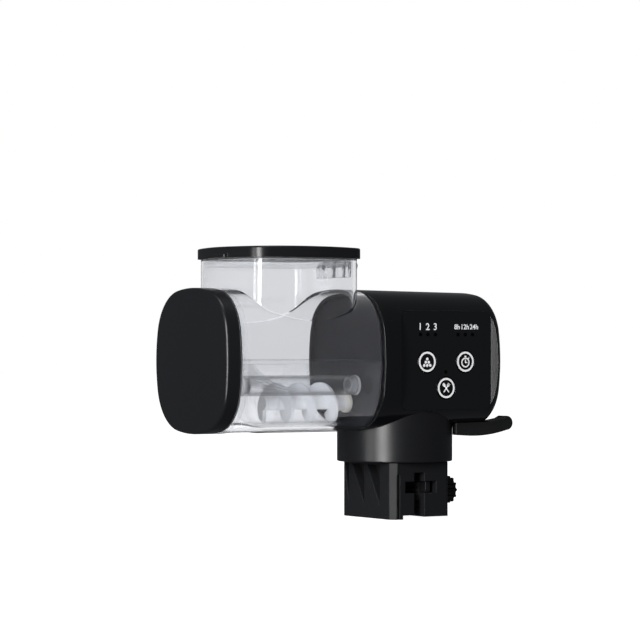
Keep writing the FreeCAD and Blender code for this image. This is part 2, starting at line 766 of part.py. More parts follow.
def port_plug():
    # Flange in the recess, a nose up into the socket and a finger tab that curls up past the end.
    flange = port_flange_block(slip_clearance).common(slab(underside_z - plug_flange_drop, port_floor))
    nose_half = port_width / 2 - plug_nose_margin
    nose = box(port_x - nose_half, port_x + nose_half, port_y - plug_nose_half, port_y + plug_nose_half,
               port_floor - 1, port_floor + plug_nose_rise)
    start = port_x - plug_tab_start
    low = underside_z - plug_tab_drop
    top = underside_z + plug_tab_top
    tip_x = housing_end + plug_reach - plug_tip_radius
    tip_z = underside_z + plug_tip_height
    tip_top = tip_z + plug_tip_radius
    back, down = plug_tip_shoulder
    points = [Vec(start, 0, low + plug_tab_fillet), Vec(start, 0, top), Vec(housing_end + 1, 0, top),
              Vec(tip_x - back, 0, tip_top - down), Vec(tip_x, 0, tip_top), Vec(tip_x, 0, tip_z - plug_tip_radius)]
    edges = [Part.LineSegment(a, b).toShape() for a, b in zip(points[:4], points[1:5])]
    edges.append(Part.Arc(points[4], Vec(tip_x + plug_tip_radius, 0, tip_z), points[5]).toShape())
    edges.append(Part.Arc(points[5], Vec((start + tip_x) / 2, 0, low - plug_tab_sag), points[0]).toShape())
    half = plug_tab_width / 2
    face = Part.Face(Part.Wire(edges))
    face.translate(Vec(0, port_y - half, 0))
    tab = face.extrude(Vec(0, 2 * half, 0))
    rims = [e for e in tab.Edges if abs(e.CenterOfMass.y - port_y) > half - 0.01]
    tab = tab.makeFillet(plug_tab_fillet, rims)
    tab = tab.cut(housing_block(-moving_gap)).cut(neck_keep_out())
    return joined([flange, nose, tab])


def neck_keep_out():
    return rod_z(neck_radius + moving_gap, 0, axis_z, neck_x)


# ---------- food bin, trough, lid ----------

def food_bin():
    x1 = joint_x - gasket_thickness
    outer = body_prism(bin_start, x1).fuse(hopper_prism(axis_z, hopper_rim))
    for y0, y1 in both_sides(bin_knuckles):
        outer = outer.fuse(hinge_lug(y0, y1))
    inner = body_prism(bin_start - 1, x1 + 1, bin_wall).fuse(hopper_prism(axis_z, hopper_rim + 1, bin_wall))
    shell = outer.cut(inner)
    shell = shell.cut(outlet_block())
    shell = shell.cut(rod_y(pin_radius, -hopper_half, hopper_half, hinge_x, hinge_z))
    return shell.removeSplitter()


def outlet_block():
    x0 = bin_start + outlet_from_cap
    half = outlet_width / 2
    block = box(x0, x0 + outlet_length, -half, half, underside_z - 1, underside_z + 6)
    return block.makeFillet(outlet_corner, upright_edges(block))


def both_sides(spans):
    return spans + [(-y1, -y0) for y0, y1 in spans]


def hinge_lug(y0, y1):
    knuckle = rod_y(knuckle_radius, y0, y1, hinge_x, hinge_z)
    wall_x = hopper_x + hopper_half - 4.0
    low = hopper_rim - hinge_web_height
    points = [Vec(wall_x, y0, hinge_z), Vec(hinge_x, y0, hinge_z), Vec(hinge_x + knuckle_radius, y0, hinge_z),
              Vec(hinge_x + hinge_web_foot, y0, low), Vec(wall_x, y0, low)]
    web = Part.Face(Part.makePolygon(points + points[:1])).extrude(Vec(0, y1 - y0, 0))
    web = web.cut(hopper_prism(low - 1, hopper_rim + 1, bin_wall))
    return knuckle.fuse(web)


def funnel_region(drop):
    # Space above the trough floor, or above its underside when drop is the wall thickness.
    radius = bore_radius + drop
    # Tangent from the ledge's edge to the trough circle, all seen in YZ from the auger axis.
    edge_y, edge_z = ledge_half, auger_drop
    reach = math.hypot(edge_y, edge_z)
    lean = math.atan2(edge_z, edge_y) + math.asin(bore_radius / reach)
    nx, nz = math.sin(lean), -math.cos(lean)
    ty, tz = radius * nx, radius * nz
    start_z = edge_z - drop
    start_y = edge_y + drop * math.tan(lean / 2)
    far = body_half + 5
    top = auger_drop + 60
    right = [(ty, tz), (start_y, start_z), (far, start_z), (far, top)]
    edges = []
    points = [Vec(0, y, auger_z + z) for y, z in right]
    mirrored = [Vec(0, -p.y, p.z) for p in reversed(points)]
    chain = points + mirrored
    for a, b in zip(chain, chain[1:]):
        edges.append(Part.LineSegment(a, b).toShape())
    edges.append(Part.Arc(mirrored[-1], Vec(0, 0, auger_z - radius), points[0]).toShape())
    return Part.Face(Part.Wire(Part.__sortEdges__(edges)))


def feed_trough():
    x0, x1 = trough_wall_x, trough_end_x
    floor = funnel_region(trough_wall).cut(funnel_region(0.0)).extrude(Vec(x1 - x0, 0, 0))
    floor.translate(Vec(x0, 0, 0))
    half_wall = trough_plate / 2
    side_walls = []
    for side in (-1, 1):
        edge = side * ledge_half
        side_walls.append(rod_x(bead_radius, ledge_start, x1, edge, axis_z - bead_radius / 2))
        side_walls.append(box(ledge_start, x0 + 0.5, min(edge, side * trough_side), max(edge, side * trough_side),
                              axis_z - trough_wall, axis_z))
    wall = box(x0 - half_wall, x0 + half_wall, -trough_side, trough_side, underside_z, axis_z + chute_bottom_height)
    collar_half = trough_collar_length / 2
    collar = rod_x(bore_radius + trough_wall, x0 - collar_half, x0 + collar_half, 0, auger_z)
    end_web = box(x1 - trough_end_web, x1, -trough_side, trough_side, underside_z, axis_z - 0.5)
    end_web = end_web.cut(funnel_region(0.0).extrude(Vec(500, 0, 0)).translated(Vec(-250, 0, 0)))
    insert = floor.multiFuse(side_walls + [wall, collar, chute(), end_web])
    start = bin_start + cap_spigot_depth + trough_start_gap
    insert = insert.common(body_prism(start, x1, bin_wall + slip_clearance))
    insert = insert.cut(rod_x(bore_radius, x0 - trough_collar_length, x0 + trough_collar_length, 0, auger_z))
    insert = insert.cut(rod_x(desiccant_radius + slip_clearance, x0 - 40, joint_x + 10, desiccant_y, desiccant_z))
    return insert.removeSplitter()


def chute():
    # Hollow-curved plate from the cap end down to the wall in front of the outlet chamber.
    z_top = axis_z + chute_top_height
    z_low = axis_z + chute_bottom_height
    end_x = trough_wall_x + trough_plate / 2
    middle_x = ledge_start + chute_sag[0] * (trough_wall_x - ledge_start)
    middle_z = z_low + chute_sag[1] * (z_top - z_low)

    def at(x, z):
        return Vec(x, -trough_side, z)

    start, end = at(ledge_start, z_top), at(end_x, z_low)
    start_under, end_under = at(ledge_start, z_top - 2 * trough_wall), at(end_x, z_low - trough_wall)
    over = Part.Arc(start, at(middle_x, middle_z), end)
    under = Part.Arc(start_under, at(middle_x - trough_wall / 2, middle_z - trough_wall), end_under)
    edges = [over.toShape(), under.toShape(), Part.LineSegment(start, start_under).toShape(),
             Part.LineSegment(end, end_under).toShape()]
    return Part.Face(Part.Wire(Part.__sortEdges__(edges))).extrude(Vec(0, 2 * trough_side, 0))


def desiccant_rod(radius, x0, x1):
    return rod_x(radius, x0, x1, desiccant_y, desiccant_z)


def desiccant_tube():
    tube = desiccant_rod(desiccant_radius, desiccant_start, desiccant_end)
    return tube.cut(desiccant_rod(desiccant_radius - desiccant_wall, desiccant_start - 1, desiccant_end + 1))


def desiccant_caps():
    # A plain cap, and a cap with vent holes at the housing's end.
    x0, x1 = desiccant_start, desiccant_end
    inside = desiccant_radius - desiccant_wall
    plain = desiccant_rod(desiccant_radius, x0 - desiccant_plain_cap, x0)
    plain = plain.fuse(desiccant_rod(inside, x0 - 0.5, x0 + desiccant_plug_length))
    vent = desiccant_rod(desiccant_radius, x1, x1 + desiccant_vent_cap)
    vent = vent.fuse(desiccant_rod(inside, x1 - desiccant_plug_length, x1 + 0.5))
    vent_start = x1 - desiccant_plug_length - 1
    vent = vent.cut(desiccant_rod(desiccant_vent_bore, vent_start, x1 + desiccant_vent_cap - desiccant_vent_skin))
    for k in range(desiccant_holes):
        a = 2 * math.pi * k / desiccant_holes
        y = desiccant_y + desiccant_hole_circle * math.cos(a)
        z = desiccant_z + desiccant_hole_circle * math.sin(a)
        vent = vent.cut(rod_x(desiccant_hole_radius, x1 - 1, x1 + 2, y, z))
    return Part.Compound([plain, vent])


def end_cap():
    back = bin_start - gasket_thickness
    cap = body_prism(cap_face, back)
    dome = Part.makeSphere(cap_dome_radius, Vec(cap_face + cap_dome_radius, 0, axis_z))
    cap = cap.common(dome)
    front = [e for e in cap.Edges if e.BoundBox.XMax < back - cap_thickness / 2]
    cap = cap.makeFillet(cap_edge_fillet, front)
    cap = cap.cut(body_prism(cap_face + cap_dome_depth + cap_wall, back + 1, cap_side_wall))
    spigot = body_ring(back - 1, bin_start + cap_spigot_depth, bin_wall + slip_clearance,
                       bin_wall + slip_clearance + cap_spigot_wall)
    return cap.fuse(spigot).removeSplitter()


def end_cap_seal():
    return body_ring(bin_start - gasket_thickness, bin_start, 0.0, bin_wall)


def feeder_lid():
    under = hopper_rim + seal_thickness
    top = under + lid_thickness - lid_crown
    plate = hopper_prism(under, top + lid_crown, 0.0, lid_half)
    crown_radius = (lid_half ** 2 + lid_crown ** 2) / (2 * lid_crown)
    ball = Part.makeSphere(crown_radius, Vec(hopper_x, 0, top + lid_crown - crown_radius))
    plate = plate.common(ball)
    upper = [e for e in plate.Edges if e.BoundBox.ZMin > under + 1]
    plate = plate.makeFillet(lid_edge_fillet, upper)
    skirt_inset = bin_wall + lid_skirt_gap
    pocket_inset = skirt_inset + lid_skirt_wall + lid_pocket_margin
    plate = plate.cut(hopper_prism(under - 1, top - lid_wall, pocket_inset))
    skirt = hopper_prism(under - seal_thickness - lid_skirt_depth, under + 1, skirt_inset)
    skirt = skirt.cut(hopper_prism(under - 10, under + 2, skirt_inset + lid_skirt_wall))
    edge_x = hopper_x - lid_half
    lift = box(edge_x - lift_reach, edge_x + 2, -lift_half, lift_half, under, under + lift_thickness)
    lift = lift.makeFillet(lift_fillet, [e for e in lift.Edges if e.CenterOfMass.x < edge_x - lift_reach / 2])
    lid = plate.multiFuse([skirt, lift])
    for y0, y1 in lid_knuckles:
        knuckle = rod_y(knuckle_radius, y0, y1, hinge_x, hinge_z)
        web = box(hinge_x - lid_hinge_web, hinge_x + knuckle_radius, y0, y1, hinge_z, under + lid_edge_fillet)
        lid = lid.multiFuse([knuckle, web])
    bore = rod_y(pin_radius + running_clearance, -hopper_half, hopper_half, hinge_x, hinge_z)
    return lid.cut(bore).removeSplitter()


def lid_seal():
    z = hopper_rim
    ring = hopper_prism(z, z + seal_thickness, 0.0)
    return ring.cut(hopper_prism(z - 1, z + 2, bin_wall + lid_skirt_gap))


def hinge_pin():
    reach = max(y1 for y0, y1 in bin_knuckles) + pin_end
    return rod_y(pin_radius, -reach, reach, hinge_x, hinge_z)


# ---------- auger and drive ----------

def gear(teeth, width, bore, phase):
    # Involute spur gear along X from x = 0; phase is the angle of one tooth's centre.
    pitch_r = gear_module * teeth / 2
    base_r = pitch_r * math.cos(pressure_angle)
    tip_r = pitch_r + gear_module
    root_r = pitch_r - 1.25 * gear_module
    half_tooth = math.pi / (2 * teeth) - gear_backlash / (2 * pitch_r)
    start_r = max(base_r, root_r)

    def involute(angle):
        return math.tan(angle) - angle

    def half_angle(r):
        return half_tooth + involute(pressure_angle) - involute(math.acos(min(1.0, base_r / r)))

    def at(r, angle):
        return Vec(0, r * math.cos(angle), r * math.sin(angle))

    radii = [start_r + (tip_r - start_r) * k / 5 for k in range(6)]
    edges = []
    step = 2 * math.pi / teeth
    for k in range(teeth):
        centre = phase + k * step
        rise = [at(r, centre - half_angle(r)) for r in radii]
        fall = [at(r, centre + half_angle(r)) for r in reversed(radii)]
        next_start = centre + step - half_angle(start_r)
        flank_up = Part.BSplineCurve()
        flank_up.interpolate(rise)
        flank_down = Part.BSplineCurve()
        flank_down.interpolate(fall)
        foot_end = at(root_r, centre + half_angle(start_r))
        foot_next = at(root_r, next_start)
        edges.append(flank_up.toShape())
        edges.append(Part.Arc(rise[-1], at(tip_r, centre), fall[0]).toShape())
        edges.append(flank_down.toShape())
        if root_r < start_r - 1e-6:
            edges.append(Part.LineSegment(fall[-1], foot_end).toShape())
        edges.append(Part.Arc(foot_end, at(root_r, centre + step / 2), foot_next).toShape())
        if root_r < start_r - 1e-6:
            edges.append(Part.LineSegment(foot_next, at(start_r, next_start)).toShape())
    blank = Part.Face(Part.Wire(edges)).extrude(Vec(width, 0, 0))
    return blank.cut(rod_x(bore, -1, width + 1))


def placed(shape, x, z):
    shape.translate(Vec(x, 0, z))
    return shape


def output_gear():
    return placed(gear(output_teeth, output_width, shaft_radius, math.pi / 2), joint_x + output_plane, auger_z)


def idler_gear():
    # A large and a small gear moulded as one; the small one meshes with the output gear.
    small_phase = -math.pi / 2 + math.pi / idler_pinion_teeth
    bore = idler_shaft_radius + running_clearance
    small = gear(idler_pinion_teeth, idler_plane - output_plane + 0.2, bore, small_phase)
    large = gear(idler_teeth, idler_width, bore, math.pi / 2)
    small = placed(small, joint_x + output_plane, idler_z)
    large = placed(large, joint_x + idler_plane, idler_z)
    return small.fuse(large).removeSplitter()


def motor_pinion():
    phase = -math.pi / 2 + math.pi / motor_pinion_teeth
    return placed(gear(motor_pinion_teeth, idler_width, motor_shaft_radius, phase), joint_x + idler_plane, motor_z)


def drive_shaft():
    return rod_x(shaft_radius, joint_x - coupler_length, motor_face, 0, auger_z)


def idler_shaft():
    return rod_x(idler_shaft_radius, joint_x + seal_length, motor_face, 0, idler_z)


def gear_plate():
    x0 = joint_x + gear_plate_from_joint
    (ly, lz), (ry, rz), (ty, tz) = gear_plate_corners()
    left, right = ly - gear_plate_margin, ry + gear_plate_margin
    shoulder, top = motor_z + gear_plate_shoulder, tz + gear_plate_margin
    points = [Vec(x0, left, lz - gear_plate_foot), Vec(x0, right, rz - gear_plate_foot), Vec(x0, right, shoulder),
              Vec(x0, gear_plate_head, top), Vec(x0, -gear_plate_head, top), Vec(x0, left, shoulder)]
    plate = Part.Face(Part.makePolygon(points + points[:1])).extrude(Vec(gear_plate_thickness, 0, 0))
    holes = [(shaft_radius + running_clearance, 0, auger_z), (idler_shaft_radius, 0, idler_z),
             (motor_boss_radius + 2 * running_clearance, 0, motor_z)]
    holes += [(gear_plate_screw_hole, y, z) for y, z in gear_plate_corners()]
    holes += [(motor_screw[2], side * motor_screw_offset, motor_z) for side in (-1, 1)]
    for radius, y, z in holes:
        plate = plate.cut(rod_x(radius, x0 - 1, motor_face + 1, y, z))
    return plate


def gearbox_screws():
    return Part.Compound([screw(*gearbox_screw, (motor_face, y, z), (-1, 0, 0)) for y, z in gear_plate_corners()])


def drive_motor():
    x0, x1 = motor_face, motor_face + motor_length
    can = rod_x(motor_radius, x0, x1, 0, motor_z)
    can = can.common(slab(motor_z - motor_flat, motor_z + motor_flat))
    tail = rod_x(motor_boss_radius, x1 - 1, x1 + motor_tail_length, 0, motor_z)
    boss = rod_x(motor_boss_radius, x0 - motor_boss_length, x0 + 1, 0, motor_z)
    can = can.fuse(tail).fuse(boss)
    shaft_hole_end = x0 + motor_shaft_depth + 1
    can = can.cut(rod_x(motor_shaft_radius + running_clearance, x0 - 3, shaft_hole_end, 0, motor_z))
    for side in (-1, 1):
        can = can.cut(rod_x(motor_screw[2], x0 - 1, x0 + motor_screw_depth, side * motor_screw_offset, motor_z))
    return can.removeSplitter()


def motor_screws():
    x = joint_x + gear_plate_from_joint
    return Part.Compound([screw(*motor_screw, (x, side * motor_screw_offset, motor_z), (1, 0, 0))
                          for side in (-1, 1)])


def motor_shaft():
    return rod_x(motor_shaft_radius, joint_x + idler_plane, motor_face + motor_shaft_depth, 0, motor_z)


def shaft_seal():
    ring = rod_x(seal_radius, joint_x, joint_x + seal_length, 0, auger_z)
    return ring.cut(rod_x(shaft_radius + running_clearance, joint_x - 1, joint_x + 3, 0, auger_z))


def drive_coupler():
    # A flange and a keyed dog that plugs into the end of the auger.
    x0, x1 = joint_x - coupler_length, joint_x - coupler_gap
    flange = rod_x(coupler_radius, x1 - coupler_flange, x1, 0, auger_z)
    dog = rod_x(dog_radius, x0, x1, 0, auger_z)
    key = box(x0, x1 - 1, -dog_key_half, dog_key_half, auger_z - dog_key_reach, auger_z + dog_key_reach)
    return joined([flange, dog, key]).cut(rod_x(shaft_radius, x0 - 1, x1 + 1, 0, auger_z))


def auger():
    x1 = joint_x - coupler_gap - coupler_flange - slip_clearance
    x0 = x1 - auger_length
    core = rod_x(auger_core_radius, x0, x1, 0, auger_z)
    hub = rod_x(coupler_radius, x1 - auger_hub_length, x1, 0, auger_z)
    root, tip, t = auger_core_radius - auger_root_overlap, auger_radius, auger_flight_thickness
    helix = Part.makeHelix(auger_pitch, auger_length - auger_plain_end - t, root)
    profile = Part.makePolygon([Vec(root, 0, 0), Vec(tip, 0, t * 0.2), Vec(tip, 0, t * 0.8), Vec(root, 0, t),
                                Vec(root, 0, 0)])
    flight = Part.Wire(helix).makePipeShell([profile], True, True)
    flight.rotate(Vec(0, 0, 0), Vec(0, 1, 0), 90)
    flight.translate(Vec(x0, 0, auger_z))
    conveyor = core.fuse(flight).fuse(hub)
    socket_start = x1 - auger_socket_depth
    conveyor = conveyor.cut(rod_x(dog_radius + slip_clearance, socket_start, x1 + 1, 0, auger_z))
    key_half = dog_key_half + slip_clearance
    key_reach = dog_key_reach + auger_key_margin
    return conveyor.cut(box(socket_start, x1 + 1, -key_half, key_half, auger_z - key_reach, auger_z + key_reach))


# ---------- write one STEP file for each piece ----------

pieces = {
    "clamp_frame": clamp_frame, "jaw_pad": jaw_pad, "screw_insert": screw_insert,
    "swivel_washer": swivel_washer, "swivel_screws": swivel_screws,
    "pad_carrier": pad_carrier, "pad_rubber": pad_rubber,
    "clamp_screw": clamp_screw, "clamp_knob": clamp_knob,
    "neck_collar": neck_collar, "housing_shell": housing_shell, "drive_bulkhead": drive_bulkhead,
    "bin_gasket": bin_gasket, "control_panel": control_panel, "indicator_lenses": indicator_lenses,
    "main_board": main_board, "board_screws": board_screws, "key_switches": key_switches,
    "battery_pack": battery_pack, "charge_port": charge_port, "port_plug": port_plug,
    "food_bin": food_bin, "feed_trough": feed_trough,
    "desiccant_tube": desiccant_tube, "desiccant_caps": desiccant_caps,
    "end_cap": end_cap, "end_cap_seal": end_cap_seal,
    "feeder_lid": feeder_lid, "lid_seal": lid_seal, "hinge_pin": hinge_pin,
    "auger": auger, "drive_coupler": drive_coupler, "drive_shaft": drive_shaft,
    "output_gear": output_gear, "idler_gear": idler_gear, "idler_shaft": idler_shaft,
    "motor_pinion": motor_pinion, "motor_shaft": motor_shaft, "drive_motor": drive_motor,
    "motor_screws": motor_screws, "gear_plate": gear_plate, "gearbox_screws": gearbox_screws,
    "shaft_seal": shaft_seal,
}

os.makedirs("parts", exist_ok=True)
for name, make in pieces.items():
    make().exportStep("parts/" + name + ".step")
for name, place in key_layout.items():
    panel_key(*place).exportStep("parts/" + name + ".step")
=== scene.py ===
import math
import bpy
import bmesh
from mathutils import Matrix, Vector


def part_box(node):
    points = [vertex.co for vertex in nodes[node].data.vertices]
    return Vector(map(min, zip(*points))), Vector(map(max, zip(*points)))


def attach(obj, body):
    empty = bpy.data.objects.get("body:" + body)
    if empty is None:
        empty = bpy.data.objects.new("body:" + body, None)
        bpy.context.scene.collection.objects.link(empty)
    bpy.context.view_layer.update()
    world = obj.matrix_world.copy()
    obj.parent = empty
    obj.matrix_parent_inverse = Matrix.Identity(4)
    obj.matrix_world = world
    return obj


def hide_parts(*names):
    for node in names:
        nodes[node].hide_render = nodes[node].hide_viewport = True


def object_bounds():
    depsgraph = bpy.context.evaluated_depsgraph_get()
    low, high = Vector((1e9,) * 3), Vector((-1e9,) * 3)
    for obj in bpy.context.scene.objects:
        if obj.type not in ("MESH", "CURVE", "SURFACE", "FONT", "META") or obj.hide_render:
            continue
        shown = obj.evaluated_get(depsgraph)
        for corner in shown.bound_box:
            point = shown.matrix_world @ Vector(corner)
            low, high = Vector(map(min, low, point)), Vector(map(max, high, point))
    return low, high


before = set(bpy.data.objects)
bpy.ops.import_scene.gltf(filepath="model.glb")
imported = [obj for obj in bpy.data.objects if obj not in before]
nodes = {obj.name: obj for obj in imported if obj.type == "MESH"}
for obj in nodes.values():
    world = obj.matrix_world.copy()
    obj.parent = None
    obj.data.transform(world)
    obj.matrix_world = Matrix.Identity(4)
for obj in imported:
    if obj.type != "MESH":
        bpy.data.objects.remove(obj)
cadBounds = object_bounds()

scene = bpy.context.scene
mm = 0.001
print("frame loaded:", len(nodes), "nodes")

# places read from the frame
capLow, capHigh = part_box("end_cap")
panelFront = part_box("control_panel")[0][1]
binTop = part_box("food_bin")[1][2]
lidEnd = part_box("feeder_lid")[1][0]
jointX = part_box("housing_shell")[0][0]
axisZ = (capLow[2] + capHigh[2]) / 2


# ---- camera ----
camera = {
    "azimuth": -32.0,        # degrees, 0 looks along +Y
    "distance": 1.353,
    "lens": 157.5,
    "aimPastJoint": -15.4 * mm,
    "aimAboveAxis": 19.6 * mm,
    "eyeAboveAxis": 7.5 * mm,
}


def makeCamera(spec):
    turn = math.radians(spec["azimuth"])
    aim = Vector((jointX + spec["aimPastJoint"], 0, axisZ + spec["aimAboveAxis"]))
    eye = aim + Vector((math.sin(turn), -math.cos(turn), 0)) * spec["distance"]
    eye.z = axisZ + spec["eyeAboveAxis"]
    lensData = bpy.data.cameras.new("camera")
    lensData.lens = spec["lens"]
    lensData.clip_start = 0.01
    cameraObject = bpy.data.objects.new("camera", lensData)
    cameraObject.location = eye
    cameraObject.rotation_euler = (aim - eye).to_track_quat("-Z", "Y").to_euler()
    scene.collection.objects.link(cameraObject)
    scene.camera = cameraObject


makeCamera(camera)
print("camera set")


# ---- shader maths ----
class Flow:
    # wraps an output socket, so that values are written as expressions
    def __init__(self, tree, socket=None):
        self.tree = tree
        self.socket = socket

    def add(self, kind, settings=None, values=None, out=0):
        node = self.tree.nodes.new(kind)
        for key, value in (settings or {}).items():
            if key == "stops":
                self.setStops(node.color_ramp, value)
            else:
                setattr(node, key, value)
        for key, value in (values or {}).items():
            target = node.inputs[key]
            if isinstance(value, Flow):
                self.tree.links.new(value.socket, target)
            else:
                target.default_value = value
        return Flow(self.tree, node.outputs[out])

    def setStops(self, ramp, stops):
        while len(ramp.elements) < len(stops):
            ramp.elements.new(1.0)
        for element, (place, shade) in zip(ramp.elements, stops):
            element.position = place
            element.color = (*shade, 1.0)

    def maths(self, operation, first, second):
        return self.add("ShaderNodeMath", {"operation": operation}, {0: first, 1: second})

    def __add__(self, other): return self.maths("ADD", self, other)
    def __radd__(self, other): return self.maths("ADD", other, self)
    def __sub__(self, other): return self.maths("SUBTRACT", self, other)
    def __rsub__(self, other): return self.maths("SUBTRACT", other, self)
    def __mul__(self, other): return self.maths("MULTIPLY", self, other)
    def __rmul__(self, other): return self.maths("MULTIPLY", other, self)
    def __pow__(self, other): return self.maths("POWER", self, other)

    def clamped(self, low, high):
        return self.add("ShaderNodeClamp", {}, {"Value": self, "Min": low, "Max": high})


def mixColours(flow, mask, first, second):
    blend = {"data_type": "RGBA"}
    return flow.add("ShaderNodeMix", blend, {0: mask, 6: (*first, 1.0), 7: (*second, 1.0)}, out=2)


def newMaterial(name):
    material = bpy.data.materials.new(name)
    material.use_nodes = True
    tree = material.node_tree
    shader = tree.nodes["Principled BSDF"]
    return material, Flow(tree), shader


def mixWith(flow, mask, first, second):
    # like mixColours, over a colour that already varies
    return flow.add("ShaderNodeMix", {"data_type": "RGBA"}, {0: mask, 6: first, 7: (*second, 1.0)}, out=2)


maskSharpness = 20000.0       # a mask goes from 0 to 1 in a twentieth of a millimetre


def regionMask(flow, sides):
    # 1 inside the region that the planes bound; each side is (axis, +1 or -1, place in metres)
    place = flow.add("ShaderNodeTexCoord", out=3)
    mask = None
    for axis, sign, limit in sides:
        along = flow.add("ShaderNodeSeparateXYZ", {}, {"Vector": place}, out=axis)
        inside = ((along - limit) * (sign * maskSharpness)).clamped(0.0, 1.0)
        mask = inside if mask is None else mask * inside
    return mask


def feed(flow, shader, values):
    for key, value in values.items():
        if isinstance(value, Flow):
            flow.tree.links.new(value.socket, shader.inputs[key])
        else:
            shader.inputs[key].default_value = value


def objectNoise(flow, scale, detail=3.0, stretch=(1, 1, 1)):
    place = flow.add("ShaderNodeTexCoord", out=3)
    if stretch != (1, 1, 1):
        place = flow.add("ShaderNodeMapping", {}, {"Vector": place, "Scale": stretch})
    return flow.add("ShaderNodeTexNoise", {}, {"Vector": place, "Scale": scale, "Detail": detail})


# ---- finishes ----
edgeWearAndHighlight = {"gain": 3.0, "addedRoughness": 0.06}
grainDepth = 0.04 * mm


def mouldedPlastic(name, spec):
    # opaque moulded plastic: fine skin grain, cloudy gloss, softly rounded edges whose lighter colour is
    # partly rubbed wear and partly a painted highlight
    material, flow, shader = newMaterial(name)
    rounded = flow.add("ShaderNodeBevel", {"samples": 4}, {"Radius": spec["edge"]})
    flat = flow.add("ShaderNodeNewGeometry", out=1)
    facing = flow.add("ShaderNodeVectorMath", {"operation": "DOT_PRODUCT"}, {0: rounded, 1: flat}, out=1)
    wornAndHighlightedEdge = ((1 - facing) * edgeWearAndHighlight["gain"]).clamped(0.0, 1.0)
    cloud = objectNoise(flow, spec["cloudScale"])
    grain = objectNoise(flow, spec["grainScale"], 2.0)
    # the rounded edges take a lighter colour: partly rubbed wear, partly a painted highlight
    colour = mixColours(flow, wornAndHighlightedEdge, spec["colour"], spec["edgeWearAndHighlightColour"])
    if "clearPart" in spec:
        clearPart = regionMask(flow, spec["clearPart"])
        colour = mixWith(flow, clearPart, colour, spec["clearColour"])
        feed(flow, shader, {"Alpha": 1 - clearPart * spec["clearness"]})
    # painted light: an even glow on top of the part's own colour, as if lamp light reached it through the
    # clear walls
    if "paintedGlow" in spec:
        feed(flow, shader, {"Emission Color": (*spec["colour"], 1.0), "Emission Strength": spec["paintedGlow"]})
    feed(flow, shader, {
        "Base Color": colour,
        "Roughness": cloud * spec["roughnessSpread"] + spec["roughness"] + wornAndHighlightedEdge * edgeWearAndHighlight["addedRoughness"],
        "IOR": 1.5,
        "Specular IOR Level": spec.get("specular", 0.5),
        "Coat Weight": spec.get("coat", 0.0),
        "Coat Roughness": spec.get("coatRoughness", 0.03),
        "Normal": flow.add("ShaderNodeBump", {}, {"Strength": spec["grain"], "Distance": grainDepth,
                                                  "Height": grain, "Normal": rounded}),
    })
    return material


satinBlack = mouldedPlastic("satinBlack", {
    "colour": (0.0085, 0.0088, 0.0100), "edgeWearAndHighlightColour": (0.020, 0.021, 0.023), "edge": 0.45 * mm,
    "roughness": 0.30, "roughnessSpread": 0.10, "cloudScale": 60.0, "grainScale": 2600.0, "grain": 0.35,
})
clampBlack = mouldedPlastic("clampBlack", {
    "colour": (0.0145, 0.0150, 0.0165), "edgeWearAndHighlightColour": (0.020, 0.021, 0.023), "edge": 0.7 * mm,
    "roughness": 0.38, "roughnessSpread": 0.10, "cloudScale": 60.0, "grainScale": 2600.0, "grain": 0.45,
    "specular": 0.2,
})
capSkin = {
    "colour": (0.0100, 0.0105, 0.0120), "edgeWearAndHighlightColour": (0.018, 0.019, 0.021), "edge": 0.4 * mm,
    "roughness": 0.26, "roughnessSpread": 0.08, "cloudScale": 40.0, "grainScale": 3200.0, "grain": 0.22,
    "clearColour": (0.60, 0.61, 0.62), "clearness": 0.85,
}
# the cap's spigot and the lid's skirt are clear
capBlack = mouldedPlastic("capBlack", {**capSkin, "clearPart": [(0, 1, capHigh[0] - 4.4 * mm)]})
lidBlack = mouldedPlastic("lidBlack", {
    **capSkin, "clearPart": [(2, -1, binTop + 0.3 * mm), (0, -1, lidEnd - 4.7 * mm)],
})
# on this gloss black the lighter edge colour is mostly a painted highlight along the rims
glossBlack = mouldedPlastic("glossBlack", {
    "colour": (0.0030, 0.0034, 0.0040), "edgeWearAndHighlightColour": (0.045, 0.047, 0.05), "edge": 0.6 * mm,
    "roughness": 0.07, "roughnessSpread": 0.07, "cloudScale": 30.0, "grainScale": 900.0, "grain": 0.03,
    "coat": 0.4, "coatRoughness": 0.03,
})
partitionBlack = mouldedPlastic("partitionBlack", {
    "colour": (0.007, 0.007, 0.010), "edgeWearAndHighlightColour": (0.014, 0.014, 0.017), "edge": 0.4 * mm,
    "roughness": 0.5, "roughnessSpread": 0.10, "cloudScale": 30.0, "grainScale": 1500.0, "grain": 0.1,
    "specular": 0.06,
})
panelGloss = mouldedPlastic("panelGloss", {
    "colour": (0.0042, 0.0048, 0.0053), "edgeWearAndHighlightColour": (0.010, 0.011, 0.012), "edge": 0.25 * mm,
    "roughness": 0.05, "roughnessSpread": 0.05, "cloudScale": 25.0, "grainScale": 700.0, "grain": 0.015,
    "coat": 0.5, "coatRoughness": 0.02,
})
keyGloss = mouldedPlastic("keyGloss", {
    "colour": (0.0038, 0.0042, 0.0046), "edgeWearAndHighlightColour": (0.012, 0.012, 0.013), "edge": 0.25 * mm,
    "roughness": 0.12, "roughnessSpread": 0.06, "cloudScale": 90.0, "grainScale": 900.0, "grain": 0.03,
})
